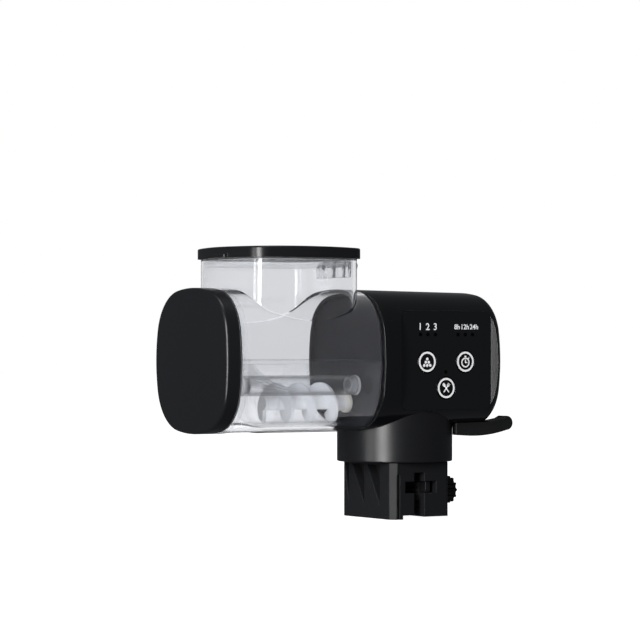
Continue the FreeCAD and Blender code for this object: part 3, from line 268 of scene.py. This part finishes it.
# the auger's glow is painted light, standing in for light reaching it through the clear bin
augerWhite = mouldedPlastic("augerWhite", {
    "colour": (0.80, 0.81, 0.825), "edgeWearAndHighlightColour": (0.88, 0.88, 0.89), "edge": 0.5 * mm,
    "roughness": 0.30, "roughnessSpread": 0.12, "cloudScale": 80.0, "grainScale": 1800.0, "grain": 0.1,
    "paintedGlow": 0.06,
})
gearNylon = mouldedPlastic("gearNylon", {
    "colour": (0.72, 0.70, 0.62), "edgeWearAndHighlightColour": (0.80, 0.78, 0.70), "edge": 0.1 * mm,
    "roughness": 0.38, "roughnessSpread": 0.12, "cloudScale": 120.0, "grainScale": 2200.0, "grain": 0.15,
})
switchBlack = mouldedPlastic("switchBlack", {
    "colour": (0.012, 0.012, 0.013), "edgeWearAndHighlightColour": (0.03, 0.03, 0.032), "edge": 0.2 * mm,
    "roughness": 0.42, "roughnessSpread": 0.1, "cloudScale": 150.0, "grainScale": 2600.0, "grain": 0.3,
})


def mixSurfaces(flow, factor, first, second):
    mixed = flow.add("ShaderNodeMixShader", {}, {0: factor, 1: first, 2: second})
    flow.tree.links.new(mixed.socket, flow.tree.nodes["Material Output"].inputs["Surface"])


def clearPlastic(name, spec):
    # transparent moulding with faint flow lines and a slight blue-grey body tint
    material, flow, shader = newMaterial(name)
    cloud = objectNoise(flow, spec["cloudScale"], 2.0, spec["stretch"])
    rounded = flow.add("ShaderNodeBevel", {"samples": 4}, {"Radius": spec["edge"]})
    feed(flow, shader, {
        "Base Color": mixColours(flow, cloud, spec["tint"], spec["paleTint"]),
        "Roughness": cloud * 0.03 + spec["roughness"],
        "IOR": spec["ior"],
        "Transmission Weight": 1.0,
        "Normal": flow.add("ShaderNodeBump", {}, {"Strength": spec["waviness"], "Distance": 0.2 * mm,
                                                  "Height": cloud, "Normal": rounded}),
    })
    # light from the lamps goes straight through
    fromLamp = flow.add("ShaderNodeLightPath", out=1)
    passing = flow.add("ShaderNodeBsdfTransparent", {}, {"Color": (*spec["paleTint"], 1.0)})
    mixSurfaces(flow, fromLamp, Flow(flow.tree, shader.outputs[0]), passing)
    return material


binClear = clearPlastic("binClear", {
    "tint": (0.805, 0.812, 0.835), "paleTint": (0.845, 0.852, 0.868),
    "cloudScale": 22.0, "stretch": (0.4, 1, 1),
    "edge": 0.3 * mm, "roughness": 0.012, "ior": 1.46, "waviness": 0.05,
})


def thinClear(name, spec):
    # thin clear moulding: light goes straight through, and towards its edges it turns to a gloss over a dark
    # painted shade that stands in for the dark refraction at its rims
    material, flow, shader = newMaterial(name)
    cloud = objectNoise(flow, spec["cloudScale"], 2.0, spec["stretch"])
    edge = flow.add("ShaderNodeLayerWeight", {}, {"Blend": 0.5}, out=1) ** spec["edgePower"]
    feed(flow, shader, {
        # painted shade: the rims take a dark colour in place of the dark refraction seen through them
        "Base Color": mixColours(flow, cloud, spec["paintedEdgeShade"], spec["paleEdgeShade"]),
        "Roughness": cloud * 0.03 + spec["roughness"],
        "IOR": 1.5,
    })
    clear = flow.add("ShaderNodeBsdfTransparent", {}, {"Color": (*spec["tint"], 1.0)})
    factor = (edge * spec["gloss"] + cloud * 0.01).clamped(0.0, 1.0)
    mixSurfaces(flow, factor, clear, Flow(flow.tree, shader.outputs[0]))
    return material


troughClear = thinClear("troughClear", {
    "tint": (0.99, 0.991, 0.993), "paintedEdgeShade": (0.10, 0.105, 0.11), "paleEdgeShade": (0.16, 0.165, 0.17),
    "cloudScale": 40.0, "stretch": (0.3, 1, 1), "edgePower": 4.0, "gloss": 1.0, "roughness": 0.03,
})
tubeClear = thinClear("tubeClear", {
    "tint": (0.965, 0.967, 0.972), "paintedEdgeShade": (0.08, 0.082, 0.085), "paleEdgeShade": (0.18, 0.182, 0.185),
    "cloudScale": 60.0, "stretch": (0.2, 1, 1), "edgePower": 2.2, "gloss": 1.0, "roughness": 0.03,
})
sealClear = clearPlastic("sealClear", {
    "tint": (0.80, 0.81, 0.82), "paleTint": (0.88, 0.885, 0.89), "cloudScale": 90.0, "stretch": (1, 1, 1),
    "edge": 0.2 * mm, "roughness": 0.28, "ior": 1.41, "waviness": 0.1,
})
lensSmoked = mouldedPlastic("lensSmoked", {
    "colour": (0.0008, 0.0008, 0.0009), "edgeWearAndHighlightColour": (0.0015, 0.0015, 0.0016), "edge": 0.1 * mm,
    "roughness": 0.30, "roughnessSpread": 0.1, "cloudScale": 300.0, "grainScale": 900.0, "grain": 0.02,
    "specular": 0.1,
})


def rubberSkin(name, spec):
    material, flow, shader = newMaterial(name)
    grain = objectNoise(flow, spec["grainScale"], 4.0)
    dust = objectNoise(flow, 45.0, 5.0)
    rounded = flow.add("ShaderNodeBevel", {"samples": 4}, {"Radius": 0.4 * mm})
    feed(flow, shader, {
        "Base Color": mixColours(flow, (dust * 1.6 - 0.5).clamped(0.0, 1.0), spec["colour"], spec["dusty"]),
        "Roughness": grain * 0.2 + spec["roughness"],
        "Specular IOR Level": 0.35,
        "Normal": flow.add("ShaderNodeBump", {}, {"Strength": 0.4, "Distance": 0.08 * mm,
                                                  "Height": grain, "Normal": rounded}),
    })
    return material


blackRubber = rubberSkin("blackRubber", {
    "colour": (0.010, 0.0105, 0.011), "dusty": (0.020, 0.020, 0.021), "grainScale": 1500.0, "roughness": 0.42,
})


def metalFinish(name, spec):
    # turned or drawn metal: fine lines along one axis, with cloudy tarnish
    material, flow, shader = newMaterial(name)
    lines = objectNoise(flow, spec["lineScale"], 3.0, spec["stretch"])
    tarnish = objectNoise(flow, 120.0, 4.0)
    rounded = flow.add("ShaderNodeBevel", {"samples": 4}, {"Radius": 0.2 * mm})
    feed(flow, shader, {
        "Base Color": mixColours(flow, tarnish, spec["colour"], spec["dull"]),
        "Metallic": 1.0,
        "Roughness": lines * 0.18 + spec["roughness"],
        "Normal": flow.add("ShaderNodeBump", {}, {"Strength": 0.25, "Distance": 0.03 * mm,
                                                  "Height": lines, "Normal": rounded}),
    })
    return material


steel = metalFinish("steel", {
    "colour": (0.58, 0.58, 0.60), "dull": (0.44, 0.44, 0.46), "lineScale": 900.0, "stretch": (6, 1, 1),
    "roughness": 0.22,
})
brass = metalFinish("brass", {
    "colour": (0.78, 0.58, 0.28), "dull": (0.60, 0.42, 0.20), "lineScale": 700.0, "stretch": (8, 1, 1),
    "roughness": 0.24,
})


def circuitBoard(name):
    # green solder mask over a grid of copper tracks
    material, flow, shader = newMaterial(name)
    place = flow.add("ShaderNodeTexCoord", out=3)
    tracks = flow.add("ShaderNodeTexBrick", {"offset": 0.35},
                      {"Vector": place, "Scale": 180.0, "Mortar Size": 0.06, "Color1": (0, 0, 0, 1),
                       "Color2": (0, 0, 0, 1), "Mortar": (1, 1, 1, 1)}, out=1)
    feed(flow, shader, {
        "Base Color": mixColours(flow, tracks, (0.012, 0.10, 0.045), (0.030, 0.20, 0.080)),
        "Roughness": 0.32,
        "Normal": flow.add("ShaderNodeBump", {}, {"Strength": 0.3, "Distance": 0.05 * mm, "Height": tracks}),
    })
    return material


def shrinkWrap(name):
    # blue battery sleeve with long tension wrinkles
    material, flow, shader = newMaterial(name)
    wrinkles = objectNoise(flow, 60.0, 4.0, (0.25, 1, 1))
    feed(flow, shader, {
        "Base Color": mixColours(flow, wrinkles, (0.02, 0.10, 0.32), (0.04, 0.16, 0.42)),
        "Roughness": wrinkles * 0.15 + 0.18,
        "Normal": flow.add("ShaderNodeBump", {}, {"Strength": 0.4, "Distance": 0.4 * mm, "Height": wrinkles}),
    })
    return material


def whitePrint(name):
    # screen-printed ink with a slightly uneven layer and a faint painted glow
    material, flow, shader = newMaterial(name)
    speckle = objectNoise(flow, 1500.0, 3.0)
    feed(flow, shader, {
        "Base Color": mixColours(flow, speckle, (0.86, 0.87, 0.88), (0.93, 0.93, 0.94)),
        "Roughness": speckle * 0.15 + 0.35,
        # painted light: the ink glows faintly, brighter than the lamps alone make it
        "Emission Color": (1.0, 1.0, 1.0, 1.0),
        "Emission Strength": 0.25,
        "Normal": flow.add("ShaderNodeBump", {}, {"Strength": 0.15, "Distance": 0.02 * mm, "Height": speckle}),
    })
    return material


boardGreen = circuitBoard("boardGreen")
cellSleeve = shrinkWrap("cellSleeve")
printWhite = whitePrint("printWhite")
print("finishes made")

finishOf = {
    "satinBlack": ["clamp_knob", "pad_carrier", "neck_collar", "gear_plate"],
    "clampBlack": ["clamp_frame"],
    "capBlack": ["end_cap"],
    "lidBlack": ["feeder_lid"],
    "glossBlack": ["housing_shell"],
    "partitionBlack": ["drive_bulkhead"],
    "panelGloss": ["control_panel"],
    "keyGloss": ["portion_key", "timer_key", "feed_key"],
    "augerWhite": ["auger"],
    "gearNylon": ["drive_coupler", "output_gear", "idler_gear"],
    "switchBlack": ["key_switches"],
    "binClear": ["food_bin"],
    "troughClear": ["feed_trough"],
    "tubeClear": ["desiccant_tube"],
    "sealClear": ["desiccant_caps", "end_cap_seal", "lid_seal"],
    "lensSmoked": ["indicator_lenses"],
    "blackRubber": ["jaw_pad", "pad_rubber", "bin_gasket", "port_plug", "shaft_seal"],
    "steel": ["swivel_washer", "swivel_screws", "board_screws", "charge_port", "hinge_pin", "clamp_screw",
              "idler_shaft", "drive_motor", "motor_screws", "gearbox_screws", "drive_shaft", "motor_shaft"],
    "brass": ["screw_insert", "motor_pinion"],
    "boardGreen": ["main_board"],
    "cellSleeve": ["battery_pack"],
}
for finish, names in finishOf.items():
    for name in names:
        for materialSlot in nodes[name].material_slots:
            materialSlot.material = bpy.data.materials[finish]
print("finishes on", sum(len(names) for names in finishOf.values()), "nodes")


# ---- mesh helpers ----
def meshPiece(name, built, material, body, smooth=True):
    mesh = bpy.data.meshes.new(name)
    built.to_mesh(mesh)
    built.free()
    for face in mesh.polygons:
        face.use_smooth = smooth
    mesh.materials.append(material)
    piece = bpy.data.objects.new(name, mesh)
    scene.collection.objects.link(piece)
    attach(piece, body)
    return piece


def raisedShape(built, outline, holes, front, thickness):
    # a flat printed shape on a face that looks towards -Y; outlines are lists of (x, z)
    loops = []
    for ring in [outline] + holes:
        verts = [built.verts.new((x, front, z)) for x, z in ring]
        loops += [built.edges.new((a, b)) for a, b in zip(verts, verts[1:] + verts[:1])]
    filled = bmesh.ops.triangle_fill(built, edges=loops, use_beauty=True)
    faces = [item for item in filled["geom"] if isinstance(item, bmesh.types.BMFace)]
    pushed = bmesh.ops.extrude_face_region(built, geom=faces)
    moved = [item for item in pushed["geom"] if isinstance(item, bmesh.types.BMVert)]
    bmesh.ops.translate(built, vec=(0, thickness, 0), verts=moved)


def circlePoints(x, z, radius, count=48):
    return [(x + radius * math.cos(2 * math.pi * k / count), z + radius * math.sin(2 * math.pi * k / count))
            for k in range(count)]


def barPoints(x, z, length, width, turn):
    # a rounded bar centred on (x, z), turned by an angle in degrees from upright
    ends = []
    for side in (1, -1):
        for k in range(9):
            a = math.pi * k / 8 + (0 if side > 0 else math.pi)
            ends.append((width / 2 * math.cos(a), side * (length - width) / 2 + width / 2 * math.sin(a)))
    c, s = math.cos(math.radians(turn)), math.sin(math.radians(turn))
    return [(x + u * c - v * s, z + u * s + v * c) for u, v in ends]


# ---- printing on the keys ----
keyPrint = {
    "ringOuter": 4.9 * mm, "ringInner": 3.95 * mm, "iconScale": 1.08,
    "layer": 0.05 * mm, "sunk": 0.03 * mm,
}


pelletHeap = {"across": 1.62 * mm, "down": 1.42 * mm, "top": 1.25 * mm, "radius": 0.66 * mm}


def portionIcon(x, z):
    # a small heap of pellets
    shapes = []
    for row, count in enumerate((1, 2, 3)):
        for k in range(count):
            across = (k - (count - 1) / 2) * pelletHeap["across"]
            up = pelletHeap["top"] - pelletHeap["down"] * row
            shapes.append((circlePoints(x + across, z + up, pelletHeap["radius"], 24), []))
    return shapes


stopwatch = {
    "drop": 0.35 * mm, "outer": 2.25 * mm, "inner": 1.65 * mm,
    # crown, side button, long hand, short hand: right, up, length, width in mm, and turn
    "bars": [(0, 2.7, 1.1, 0.7, 90), (1.75, 1.9, 0.9, 0.5, -45),
             (0, 0.55, 1.5, 0.5, 0), (0.45, 0, 1.2, 0.45, 90)],
}


def timerIcon(x, z):
    middle = z - stopwatch["drop"]
    shapes = [(circlePoints(x, middle, stopwatch["outer"]), [circlePoints(x, middle, stopwatch["inner"])])]
    for right, up, length, width, turn in stopwatch["bars"]:
        shapes.append((barPoints(x + right * mm, middle + up * mm, length * mm, width * mm, turn), []))
    return shapes


cutlery = {
    "tilt": 38, "handle": (3.9 * mm, 0.55 * mm), "handleAcross": 0.35 * mm, "handleDown": 0.5 * mm,
    "bowl": (1.9 * mm, 1.3 * mm), "bowlAcross": 2.0 * mm, "headUp": 1.75 * mm,
    "tine": (1.5 * mm, 0.3 * mm), "tineAcross": 1.85 * mm, "tineSpacing": 0.48 * mm,
}


def feedIcon(x, z):
    # a fork and a spoon, crossed
    tilt = cutlery["tilt"]
    ux, uz = math.sin(math.radians(tilt)), math.cos(math.radians(tilt))
    handleX, handleZ = cutlery["handleAcross"] * ux, z - cutlery["handleDown"] * uz
    headZ = z + cutlery["headUp"] * uz
    shapes = [(barPoints(x - handleX, handleZ, *cutlery["handle"], -tilt), []),
              (barPoints(x + handleX, handleZ, *cutlery["handle"], tilt), []),
              (barPoints(x - cutlery["bowlAcross"] * ux, headZ, *cutlery["bowl"], tilt), [])]
    for k in (-1, 0, 1):
        side = cutlery["tineSpacing"] * k
        tineX = x + cutlery["tineAcross"] * ux + side * uz
        shapes.append((barPoints(tineX, headZ - side * ux, *cutlery["tine"], -tilt), []))
    return shapes


def enlarged(points, x, z):
    scale = keyPrint["iconScale"]
    return [(x + (u - x) * scale, z + (v - z) * scale) for u, v in points]


def printKey(node, icon):
    low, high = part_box(node)
    x, z = (low[0] + high[0]) / 2, (low[2] + high[2]) / 2
    front = low[1] - keyPrint["layer"] + keyPrint["sunk"]
    built = bmesh.new()
    ring = (circlePoints(x, z, keyPrint["ringOuter"], 72), [circlePoints(x, z, keyPrint["ringInner"], 72)])
    shapes = [ring]
    for outline, holes in icon(x, z):
        shapes.append((enlarged(outline, x, z), [enlarged(hole, x, z) for hole in holes]))
    for outline, holes in shapes:
        raisedShape(built, outline, holes, front, keyPrint["layer"])
    bmesh.ops.recalc_face_normals(built, faces=built.faces)
    meshPiece(node + "_print", built, printWhite, node, smooth=False)


for node, icon in (("portion_key", portionIcon), ("timer_key", timerIcon), ("feed_key", feedIcon)):
    printKey(node, icon)
print("key icons printed")


# ---- numbers over the lights ----
numbers = {
    "layer": 0.05 * mm, "sunk": 0.03 * mm, "raise": 16.2 * mm, "bolder": 0.06 * mm, "fontScale": 1.25,
    # text, place past the joint and size in mm
    "labels": [("1", 22.8, 3.7), ("2", 27.2, 3.7), ("3", 31.6, 3.7),
               ("8h", 44.4, 2.7), ("12h", 49.0, 2.7), ("24h", 54.4, 2.7)],
}


def printNumbers(spec):
    joined = bmesh.new()
    for text, past, size in spec["labels"]:
        letters = bpy.data.curves.new("letters", "FONT")
        letters.body = text
        letters.size = size * mm * spec["fontScale"]
        letters.align_x = "CENTER"
        letters.align_y = "CENTER"
        letters.extrude = spec["layer"] / 2
        letters.offset = spec["bolder"]
        letters.resolution_u = 4
        holder = bpy.data.objects.new("letters", letters)
        solid = bpy.data.meshes.new_from_object(holder)
        front = panelFront - spec["layer"] / 2 + spec["sunk"]
        place = Matrix.Translation((jointX + past * mm, front, axisZ + spec["raise"]))
        solid.transform(place @ Matrix.Rotation(math.radians(90), 4, "X"))
        joined.from_mesh(solid)
        bpy.data.objects.remove(holder)
        bpy.data.meshes.remove(solid)
    meshPiece("panel_numbers", joined, printWhite, "feeder", smooth=False)


printNumbers(numbers)
print("numbers printed")


# ---- clamp screw with its thread ----
thread = {
    "pitch": 2.0 * mm, "depth": 0.55 * mm, "plainEnd": 0.8 * mm, "columns": 40, "rowsPerTurn": 16,
    "tipLength": 1.6 * mm, "tipRadius": 1.9 * mm, "tipFace": 1.6 * mm, "tipChamfer": 0.3 * mm,
    "inset": 0.03 * mm, "steepness": 3.2, "rootWidth": 0.3,
}


def threadedScrew(spec):
    low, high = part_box("clamp_screw")
    y, z = (low[1] + high[1]) / 2, (low[2] + high[2]) / 2
    radius = (high[1] - low[1]) / 2 - spec["inset"]
    tipEnd = low[0] + spec["tipLength"]
    step = spec["pitch"] / spec["rowsPerTurn"]
    stations = [(low[0], spec["tipFace"], False), (low[0] + spec["tipChamfer"], spec["tipRadius"], False),
                (tipEnd, spec["tipRadius"], False)]
    x = tipEnd + 0.05 * mm
    while x < high[0] - spec["plainEnd"]:
        stations.append((x, radius, True))
        x += step
    stations.append((high[0], radius, False))
    built = bmesh.new()
    rings = []
    for x, r, cut in stations:
        ring = []
        for k in range(spec["columns"]):
            a = 2 * math.pi * k / spec["columns"]
            saw = (x / spec["pitch"] - k / spec["columns"]) % 1.0
            crest = min(1.0, max(0.0, abs(saw - 0.5) * spec["steepness"] - spec["rootWidth"]))
            rr = r - spec["depth"] * (1 - crest) if cut else r
            ring.append(built.verts.new((x, y + rr * math.cos(a), z + rr * math.sin(a))))
        rings.append(ring)
    for near, far in zip(rings, rings[1:]):
        for k in range(len(near)):
            j = (k + 1) % len(near)
            built.faces.new((near[k], near[j], far[j], far[k]))
    built.faces.new(list(reversed(rings[0])))
    built.faces.new(rings[-1])
    bmesh.ops.recalc_face_normals(built, faces=built.faces)
    piece = meshPiece("clamp_screw_thread", built, steel, "thumbscrew")
    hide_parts("clamp_screw")


threadedScrew(thread)
print("clamp screw threaded")


# ---- floor and light ----
studio = {
    "floorDrop": 0.4 * mm, "floorHalf": 6.0, "floorColour": (0.93, 0.935, 0.94),
    "floorPale": (0.95, 0.95, 0.95), "floorGlow": 1.0,
    "backdrop": (1.0, 1.0, 1.0), "ambient": (0.075, 0.078, 0.085),
}


def makeFloor(spec):
    bottom = cadBounds[0][2] - spec["floorDrop"]
    half = spec["floorHalf"]
    built = bmesh.new()
    corners = ((-half, -half), (half, -half), (half, half), (-half, half))
    built.faces.new([built.verts.new((x, y, bottom)) for x, y in corners])
    mesh = bpy.data.meshes.new("floor")
    built.to_mesh(mesh)
    built.free()
    floor = bpy.data.objects.new("floor", mesh)
    scene.collection.objects.link(floor)
    material, flow, shader = newMaterial("paleFloor")
    cloud = objectNoise(flow, 3.0)
    feed(flow, shader, {
        "Base Color": mixColours(flow, cloud, spec["floorColour"], spec["floorPale"]),
        "Roughness": 0.9,
        "Emission Color": (1.0, 1.0, 1.0, 1.0),
        "Emission Strength": spec["floorGlow"],
    })
    mesh.materials.append(material)
    floor.visible_glossy = False
    floor.visible_diffuse = False


def makeWorld(spec):
    world = bpy.data.worlds.new("studio")
    scene.world = world
    world.use_nodes = True
    tree = world.node_tree
    flow = Flow(tree)
    seen = flow.add("ShaderNodeLightPath", out=0)
    through = flow.add("ShaderNodeLightPath", out=6)
    white = (seen + through).clamped(0.0, 1.0)
    sky = mixColours(flow, white, spec["ambient"], spec["backdrop"])
    tree.links.new(sky.socket, tree.nodes["Background"].inputs["Color"])


def softBox(name, azimuth, height, distance, width, tall, power):
    # a rectangular light aimed at the feeder; azimuth is the side it stands on, 0 in front
    turn = math.radians(azimuth)
    centre = Vector((jointX, 0, axisZ))
    lightData = bpy.data.lights.new(name, "AREA")
    lightData.shape = "RECTANGLE"
    lightData.size = width
    lightData.size_y = tall
    lightData.energy = power
    light = bpy.data.objects.new(name, lightData)
    light.location = centre + Vector((math.sin(turn) * distance, -math.cos(turn) * distance, height))
    light.rotation_euler = (centre - light.location).to_track_quat("-Z", "Y").to_euler()
    scene.collection.objects.link(light)


makeFloor(studio)
makeWorld(studio)
# azimuth in degrees, then height, distance, width and tallness in metres, and power in watts
softBox("keyLight", -56.0, 0.05, 1.1, 0.34, 1.1, 20.0)
softBox("topLight", 0.0, 1.3, 0.15, 0.8, 0.5, 3.5)
softBox("stripLight", -84.5, 0.05, 1.3, 0.14, 0.8, 3.2)
scene.view_settings.view_transform = "Standard"
scene.cycles.transparent_max_bounces = 32      # the clear walls stand many deep
scene.cycles.max_bounces = 20
scene.cycles.transmission_bounces = 20
print("studio lit")
